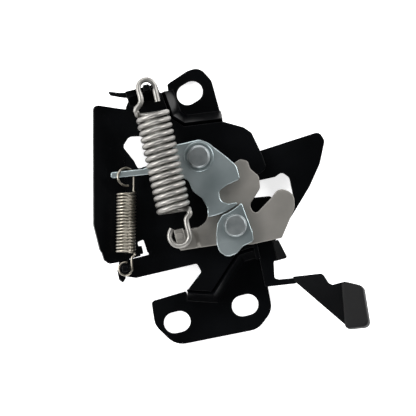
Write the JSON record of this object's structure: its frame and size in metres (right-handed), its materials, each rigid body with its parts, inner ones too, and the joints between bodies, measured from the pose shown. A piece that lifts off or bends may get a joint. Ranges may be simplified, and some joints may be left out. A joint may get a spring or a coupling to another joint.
{
  "type": "bonnet latch",
  "caption": "Bonnet latch: a folded black bracket that carries a sprung zinc hook, the pawl that locks it and a safety lever with a rubber grip.",
  "frame": {"origin": "midpoint of the two lower bolt slots, on the mounting plane at the back of the flanges", "axes": "+X along the row of the lower bolt slots, +Y up the bracket towards the upper slot, +Z out of the mounting plane towards the front"},
  "size_m": [0.1063, 0.1242, 0.0352],
  "materials": {
    "black_coat": "satin",
    "warm_zinc": "matte",
    "blue_zinc": "satin",
    "rivet_zinc": "satin",
    "spring_wire": "satin",
    "grip_rubber": "matte"
  },
  "bodies": {
    "base": {"base_plate": "black_coat", "pawl_rivet": "rivet_zinc", "hook_rivet": "rivet_zinc", "pawl_spacer": "blue_zinc", "main_spring": "spring_wire", "pawl_spring": "spring_wire", "lever_spring": "spring_wire"},
    "hook": {"latch_hook": "warm_zinc", "ratchet_plate": "blue_zinc"},
    "pawl": {"pawl": "blue_zinc"},
    "safety": {"safety_lever": "black_coat", "lever_grip": "grip_rubber"}
  },
  "joints": [
    {"name": "hook_turn", "type": "hinge", "parent": "base", "child": "hook", "pos_m": [0.019, 0.0345, 0.0144], "axis": [0, 0, 1], "range_deg": [-28, 0], "deforming": ["main_spring"]},
    {"name": "pawl_turn", "type": "hinge", "parent": "base", "child": "pawl", "pos_m": [0.011, 0.066, 0.0186], "axis": [0, 0, 1], "range_deg": [-20, 0], "stiffness_Nm_per_rad": 0.05, "deforming": ["pawl_spring"]},
    {"name": "safety_turn", "type": "hinge", "parent": "base", "child": "safety", "pos_m": [0.019, 0.0345, 0.0076], "axis": [0, 0, 1], "range_deg": [0, 14], "stiffness_Nm_per_rad": 0.1, "deforming": ["lever_spring"]}
  ],
  "couplings": [
    {"joint": "pawl_turn", "follows": "hook_turn", "ratio": 0.714}
  ]
}
